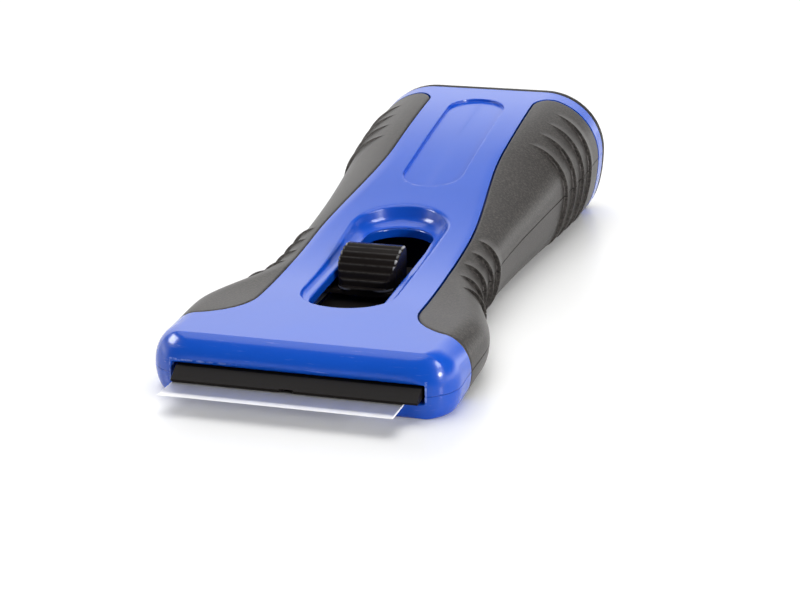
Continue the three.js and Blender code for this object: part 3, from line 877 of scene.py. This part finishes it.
def makeButton():
    form = buttonForm
    half, inward = form["half"], form["sideRings"]
    places = [-half + t for t in inward] + [half - t for t in reversed(inward)]
    rings = [[(drift + x, y, z) for y, z in buttonSection(half - abs(x))] for x in places]
    button = layRings("thumbButton", rings)
    footFront = buttonSection(half)[-5][0]
    wide, inset, low = form["flangeHalf"], form["flangeInset"], form["bottom"]
    flange = addBlock("flange", drift - wide, drift + wide, footFront + inset, form["rear"] - inset,
                      low, low + form["flange"])
    soften(flange, form["flangeEdge"], 2, 40)
    carve(button, flange, "UNION")
    y, post, top = carrierForm["post"][0], form["socket"], form["socketTop"]
    carve(button, addBlock("socket", drift - post, drift + post, y - post, y + post, 0, top))
    return smoothOut(button, 40)


# End cap: a rim that carries on the handle's outline, a shallow dome behind it and a hollow plug

capForm = {
    "front": 130.75, "flange": 1.5, "inset": 0.05, "edge": 0.3, "edgeSteps": 5,
    "dome": 3, "domeInset": 6, "domeSteps": 16,
    "plug": 8, "plugStep": 2, "plugInset": 3.5, "plugEase": 0.3, "plugWall": 1.6,
}


def makeCap():
    form, length = capForm, bodyForm["length"]
    rim, inset, edge = form["front"] + form["flange"], form["inset"], form["edge"]
    rings = []
    for turn in quarterTurns(form["edgeSteps"]):
        setIn, along = edge * (1 - math.sin(turn)), edge * (1 - math.cos(turn))
        rings.append(wholeRing(length, inset + setIn, form["front"] + along))
    for turn in quarterTurns(form["domeSteps"]):
        setIn, along = form["domeInset"] * (1 - math.cos(turn)), form["dome"] * math.sin(turn)
        rings.append(wholeRing(length, inset + setIn, rim + along))
    cap = layRings("endCap", rings)
    inset, bore = form["plugInset"], form["plugInset"] + form["plugWall"]
    tip, *others = [length - form["plug"] + k for k in range(0, form["plug"] + 1, form["plugStep"])]
    rings = [wholeRing(tip, inset + form["plugEase"])] + [wholeRing(y, inset) for y in others]
    plug = layRings("capPlug", rings + [wholeRing(length, inset, rim)])
    rings = [wholeRing(tip, bore, tip - 1)] + [wholeRing(y, bore) for y in others]     # open at its tip
    carve(plug, layRings("plugBore", rings))
    carve(cap, plug, "UNION")
    return smoothOut(cap, 35)


blade, carrier, leaf, button, cap = makeBlade(), makeCarrier(), makeLeaf(), makeButton(), makeCap()
print("slide, leaf, button and cap made")


# Finishes

shellFinish = {
    "sockets": {"Coat Weight": 0.3, "Coat Roughness": 0.1, "Specular IOR Level": 0.3},
    "roughness": (0.19, 0.29),
    "fresh": ((0.003, 0.085, 0.59, 1), (0.004, 0.101, 0.675, 1)), "cloud": 60,
    "fine": 2600, "bump": (0.16, 0.00004),
    "wearAndGlint": (0.3, 0.42, 0.85, 1), "wornRoughness": 0.25, "nose": (2.4, 1.6),
    "scratches": (160, 900, 2600), "scratchCut": (0.62, 0.78), "scratchShare": 0.35,
    # along the slot's mouth, pale marks that are partly wear and partly painted edge highlights: its two
    # ends, and its top towards the left
    "endAt": 0.2, "endBand": (0.26, 0.1), "endZ": (2.8, 6.7),
    "topAt": 6.6, "topBand": (0.24, 0.08), "topHalf": 22.2, "topFade": (-8, -19),
    "patches": 850, "patchCut": (0.42, 0.6), "mouthShare": 0.75,
    # painted shade: the hollow below the ledge is coloured near-black where shade falls inside; its
    # middle and half length are in m
    "inside": (0.001, 0.004, 0.03, 1), "paintedShadeDepth": (4.9, 6.4), "paintedShadeHalf": 9.7,
    "paintedShadeY": (0.0175, 0.062),
}


def shellPlastic():
    look = shellFinish
    paint = Paint("bluePlastic", look["sockets"])
    spot = paint.spot()
    across, along, up = paint.axes(spot)
    riseFrom, riseTo = ((y + rowShift) * mm for y in bodyForm["rise"])
    lowTop, highTop = (z * mm for z in bodyForm["top"])
    top = paint.span(along, riseFrom, riseTo, lowTop, highTop, "SMOOTHSTEP")
    cloud = paint.grain(spot, look["cloud"], 3)
    nose = paint.fade(along, [rowShift + y for y in look["nose"]])
    scratch = paint.grain(paint.stretch(spot, look["scratches"]), 1, 3, 0.6)
    wearAndGlint = nose * paint.span(scratch, *look["scratchCut"]) * look["scratchShare"]
    endX, (endLow, endHigh) = hollowForm["slotHalf"] + look["endAt"], look["endZ"]
    mouthEnd = paint.fade(abs(abs(across) - endX * mm), look["endBand"])
    mouthEnd = mouthEnd * (up > endLow * mm) * (up < endHigh * mm)
    mouthTop = paint.fade(abs(up - look["topAt"] * mm), look["topBand"])
    mouthTop = mouthTop * (abs(across) < look["topHalf"] * mm) * paint.fade(across, look["topFade"])
    broken = paint.span(paint.grain(spot, look["patches"], 3, 0.6), *look["patchCut"])
    # the slot mouth's pale marks, wear with painted edge highlights, join the nose's scratches
    wearAndGlint = wearAndGlint + nose * (mouthEnd + mouthTop) * broken * look["mouthShare"]
    # painted shade: near-black colour in the hollow, deep below the top surface and inside the channel's
    # width
    middle, half = look["paintedShadeY"]
    inside = paint.fade(top - up, look["paintedShadeDepth"]) * (abs(across) < look["paintedShadeHalf"] * mm)
    inside = inside * (abs(along - middle) < half)
    fresh = paint.blend(cloud, *look["fresh"])
    colour = paint.blend(inside, paint.blend(wearAndGlint, fresh, look["wearAndGlint"]), look["inside"])
    roughness = paint.span(cloud, 0.0, 1.0, *look["roughness"]) + wearAndGlint * look["wornRoughness"]
    return paint.finish(look, colour, roughness, paint.grain(spot, look["fine"], 2))


rubberFinish = {
    "sockets": {"Specular IOR Level": 0.36, "Specular Tint": (1, 0.955, 0.93, 1),
                "Sheen Weight": 0.06, "Sheen Roughness": 0.3},
    "dark": ((0.007, 0.0061, 0.0055, 1), (0.02, 0.0175, 0.0158, 1)), "cloud": 110,
    "speckle": 2300, "speckleCut": (0.44, 0.7), "pale": (0.075, 0.066, 0.06, 1),
    "roughness": (0.26, 0.52), "bump": (0.32, 0.0001),
}


def gripRubber():
    look = rubberFinish
    paint = Paint("gripRubber", look["sockets"])
    spot = paint.spot()
    speckle = paint.grain(spot, look["speckle"], 3, 0.7)
    dark = paint.blend(paint.grain(spot, look["cloud"], 4, 0.6), *look["dark"])
    colour = paint.blend(paint.span(speckle, *look["speckleCut"]), dark, look["pale"])
    roughness = paint.span(speckle, 0.0, 1.0, *look["roughness"])
    return paint.finish(look, colour, roughness, speckle)


# Black plastic: each piece's specular level, roughness, streaks and tone
blackFinish = {
    "buttonBlack": (0.055, (0.14, 0.24), (140, 140, 140), 1.2),
    "barBlack": (0.1, (0.32, 0.6), (60, 900, 900), 0.8),
    "capBlack": (0.1, (0.4, 0.62), (300, 300, 300), 1),
    "shades": ((0.008, 0.0066, 0.006), (0.017, 0.0138, 0.0128)),
    # the button's painted highlights: a lighter colour for the rib crests and a pale glint colour
    "crestHighlight": (0.04, 0.037, 0.035, 1), "glintColour": (0.55, 0.55, 0.54, 1),
    "fine": 1800, "bump": (0.12, 0.00004),
}


def blackPlastic(name, paintedHighlights=None):
    look = blackFinish
    level, rough, stretch, tone = look[name]
    paint = Paint(name, {"Specular IOR Level": level})
    spot = paint.spot()
    streak = paint.grain(paint.stretch(spot, stretch), 1, 3)
    deep, pale = ([part * tone for part in shade] + [1] for shade in look["shades"])
    colour = paint.blend(streak, deep, pale)
    # painted highlights, laid over the piece's own colour
    if paintedHighlights:
        crestHighlight, ends = paintedHighlights(paint, spot)
        colour = paint.blend(crestHighlight, colour, look["crestHighlight"])
        colour = paint.blend(ends, colour, look["glintColour"])
    roughness = paint.span(streak, 0.0, 1.0, *rough)
    return paint.finish(look, colour, roughness, paint.grain(spot, look["fine"], 2))


# Painted highlights on the button: a lighter line along the ribs' crests, and pale glints at the corners
# at their ends and at the lip's corners
ribFinish = {
    "patches": 900, "patchCut": (0.3, 0.6), "crestHighlight": (0.13, 0.03), "crestShare": (0.4, 0.6),
    "ends": (0.5, 0.25), "nearCrest": (0.42, 0.2),
    "lipDrop": 0.3, "lipBand": (0.26, 0.12), "lipX": (2.0, 3.4), "lipDepth": 2.2, "lipShare": 0.5,
}


def ribHighlights(paint, spot):
    look, form = ribFinish, buttonForm
    outer, half = form["radius"], form["half"]
    centre = tuple(place([drift, *form["centre"]]))
    away = paint.vector("SUBTRACT", spot, centre)
    radius = paint.vector("LENGTH", paint.vector("MULTIPLY", away, (0, 1, 1)), out="Value")
    across, _, up = paint.axes(away)
    across = abs(across)
    patchy = paint.span(paint.grain(spot, look["patches"], 2), *look["patchCut"])
    crestHighlight = paint.fade(radius, [outer - t for t in look["crestHighlight"]])
    ends = paint.fade(across, [half - t for t in look["ends"]])
    nearCrest = paint.fade(radius, [outer - t for t in look["nearCrest"]])
    lipUp = (outer * math.sin(math.radians(form["lastAngle"])) - look["lipDrop"]) * mm
    lip = paint.fade(abs(up - lipUp), look["lipBand"]) * paint.fade(across, look["lipX"])
    lip = lip * (radius > (outer - look["lipDepth"]) * mm)
    least, more = look["crestShare"]
    return crestHighlight * (least + more * patchy), ends * nearCrest * patchy + lip * look["lipShare"]


# Brushed steel: each piece's tint, roughness and streaks, then the blade's ground edge and sheared ends,
# rougher and painted lighter
steelFinish = {
    "bladeSteel": ((0.74, 0.735, 0.725), (0.3, 0.42), (4000, 60, 400)),
    "springSteel": ((0.5, 0.51, 0.53), (0.25, 0.4), (60, 3000, 300)),
    "screwSteel": ((0.42, 0.42, 0.42), (0.3, 0.45), (1200, 1200, 1200)),
    "dull": 0.9, "cloud": 80, "fine": 2500, "bump": (0.05, 0.00002),
    "facet": (0.4, -0.2), "facetSheenColour": (0.88, 0.87, 0.85, 1), "facetRoughness": 0.12,
    "ends": (0.08, 0.02), "endGlintColour": (0.95, 0.95, 0.94, 1), "endRoughness": 0.3,
}


def steel(name, ground=False):
    look = steelFinish
    tint, rough, stretch = look[name]
    paint = Paint(name, {"Metallic": 1.0})
    spot = paint.spot()
    streak = paint.grain(paint.stretch(spot, stretch), 1, 4, 0.6)
    dull = [look["dull"] * part for part in tint]
    colour = paint.blend(paint.grain(spot, look["cloud"], 2), (*dull, 1), (*tint, 1))
    roughness = paint.span(streak, 0.0, 1.0, *rough)
    if ground:
        across, along, _ = paint.axes(spot)
        front = rowShift - bladeForm["reach"] + bladeForm["grind"]
        facet = paint.fade(along, [front + t for t in look["facet"]])
        ends = paint.fade(abs(across - drift * mm), [bladeForm["width"] / 2 - t for t in look["ends"]])
        # painted light: the ground facet is lightened as a painted sheen and the sheared ends are almost
        # white as a painted glint; both are also rougher
        colour = paint.blend(facet, colour, look["facetSheenColour"])
        colour = paint.blend(ends, colour, look["endGlintColour"])
        roughness = roughness + facet * look["facetRoughness"] + ends * look["endRoughness"]
    return paint.finish(look, colour, roughness, paint.grain(spot, look["fine"], 2))


blue, rubber, screwSteel = shellPlastic(), gripRubber(), steel("screwSteel")
fit(upperShell, "handle", blue, "upper_shell")
fit(lowerShell, "handle", blue, "lower_shell")
for node, piece in gripPieces.items():
    fit(piece, "handle", rubber, node)
fit(blade, "slide", steel("bladeSteel", True), "blade")
fit(carrier, "slide", blackPlastic("barBlack"), "blade_carrier")
fit(button, "button", blackPlastic("buttonBlack", ribHighlights), "thumb_button")
fit(cap, "cap", blackPlastic("capBlack"), "end_cap")
for name in ("shell_screw_1", "shell_screw_2", "shell_screw_3", "shell_screw_4"):
    coat(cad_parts[name], screwSteel)
fit(leaf, None, steel("springSteel"), "lock_leaf")
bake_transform(leaf)
print("finishes on")


# Floor, light and camera

studio = {
    "floor": {"Base Color": (0.86, 0.86, 0.855, 1), "Roughness": 0.32, "Specular IOR Level": 0.35},
    "floorSize": 8, "lift": 0.14,     # the lift is a glow that only the camera and gloss see
    "from": (-0.5, 0.87, 0), "turn": (0.25, 0.9),     # where the bright side of the room lies
    "bright": [(0, 1.05), (0.2, 1.3), (0.33, 1.4), (0.4, 2.1), (0.455, 1.95), (0.525, 1.65),
               (0.56, 1.2), (0.59, 0.78), (0.64, 0.45), (0.85, 0.28)],
    "dim": [(0, 3.9), (0.09, 3.2), (0.21, 0.35), (0.3, 0.08), (0.8, 0.1), (1, 0.3)],
    "full": 4,     # a ramp stops at 1, so its levels are shares of this
    "front": 0.1, "frontTurn": (0.1, 0.6), "aim": (0, 0, 0.01),
    "lamps": {     # place, width, depth, power, lights the scene
        "overLamp": ((-0.1, 0.06, 1.15), 1.3, 1.3, 13.0, True),
        "rightLamp": ((1.0, -0.6, 0.33), 0.2, 0.12, 5.0, True),
        "leftCard": ((-0.884, -0.357, 0.52), 0.36, 0.36, 8.0, False),     # the cards show in gloss alone
        "rightCard": ((1.06, -0.35, 0.84), 0.72, 0.4, 14.0, False),
    },
}


def layFloor():
    letGo()
    bpy.ops.mesh.primitive_grid_add(x_subdivisions=8, y_subdivisions=8, size=studio["floorSize"])
    floor = added("studioFloor")
    paint = Paint("floorWhite", studio["floor"])
    seen = paint.node("ShaderNodeLightPath", out="Is Camera Ray")
    mirrored = paint.node("ShaderNodeLightPath", out="Is Glossy Ray")
    strength = (seen + mirrored) * studio["lift"]
    glow = paint.node("ShaderNodeEmission", None, {"Color": (1, 1, 1, 1), "Strength": strength})
    both = paint.node("ShaderNodeAddShader", None, {0: Wire(paint, paint.shader.outputs[0]), 1: glow})
    paint.feed(paint.tree.nodes["Material Output"], {"Surface": both})
    floor.data.materials.append(paint.material)


def hangLamp(name, spot, wide, deep, power, spreads):
    bpy.ops.object.light_add(type="AREA", location=spot)
    lamp = added(name)
    lamp.data.shape, lamp.data.size, lamp.data.size_y, lamp.data.energy = "RECTANGLE", wide, deep, power
    lamp.visible_diffuse = spreads
    lamp.rotation_euler = (Vector(studio["aim"]) - Vector(spot)).to_track_quat("-Z", "Y").to_euler()


# One side of the room, from the floor up
def roomSide(room, up, stops):
    shades = [(at, (level / studio["full"],) * 3 + (1,)) for at, level in stops]
    return room.node("ShaderNodeValToRGB", {"stops": shades}, {0: up}) * studio["full"]


# The room: bright behind the scraper and overhead, darker on the side that it faces
def lightWorld():
    world = bpy.data.worlds.new("studioWorld")
    bpy.context.scene.world = world
    world.use_nodes = True
    room = Paint.__new__(Paint)
    room.tree = world.node_tree
    way = room.node("ShaderNodeTexCoord", out="Generated")
    _, depth, up = room.axes(way)
    along = room.vector("DOT_PRODUCT", way, studio["from"], "Value")
    share = room.span(along, *studio["turn"], shape="SMOOTHSTEP")
    bright, dim = roomSide(room, up, studio["bright"]), roomSide(room, up, studio["dim"])
    seen = room.node("ShaderNodeLightPath", out="Is Camera Ray")
    front = room.span(-1 * depth, *studio["frontTurn"], shape="SMOOTHSTEP")
    around = (share * bright + (1 - share) * dim) * (1 - front) + front * studio["front"]
    level = room.node("ShaderNodeMix", None, {0: seen, 2: around, 3: 1.0})
    room.feed(world.node_tree.nodes["Background"], {"Color": (1, 1, 1, 1), "Strength": level})


shot = {
    "turn": 16.79, "rise": 18.436, "roll": -0.547, "at": (0.105326, -0.352535, 0.121057),
    "lens": 90.03, "sensor": 36, "clip": 0.01,
}


def setCamera():
    turn, rise, roll = (math.radians(shot[key]) for key in ("turn", "rise", "roll"))
    ahead = Vector((-math.sin(turn) * math.cos(rise), math.cos(turn) * math.cos(rise), -math.sin(rise)))
    level = Vector((math.cos(turn), math.sin(turn), 0))
    upright = level.cross(ahead)
    right = level * math.cos(roll) + upright * math.sin(roll)
    up = upright * math.cos(roll) - level * math.sin(roll)
    bpy.ops.object.camera_add()
    camera = bpy.context.active_object
    camera.data.lens, camera.data.sensor_width = shot["lens"], shot["sensor"]
    camera.data.clip_start = shot["clip"]
    turned = Matrix((right, up, -ahead)).transposed().to_4x4()
    camera.matrix_world = Matrix.Translation(shot["at"]) @ turned
    bpy.context.scene.camera = camera


layFloor()
lightWorld()
for name, lamp in studio["lamps"].items():
    hangLamp(name, *lamp)
setCamera()
print("stage set")
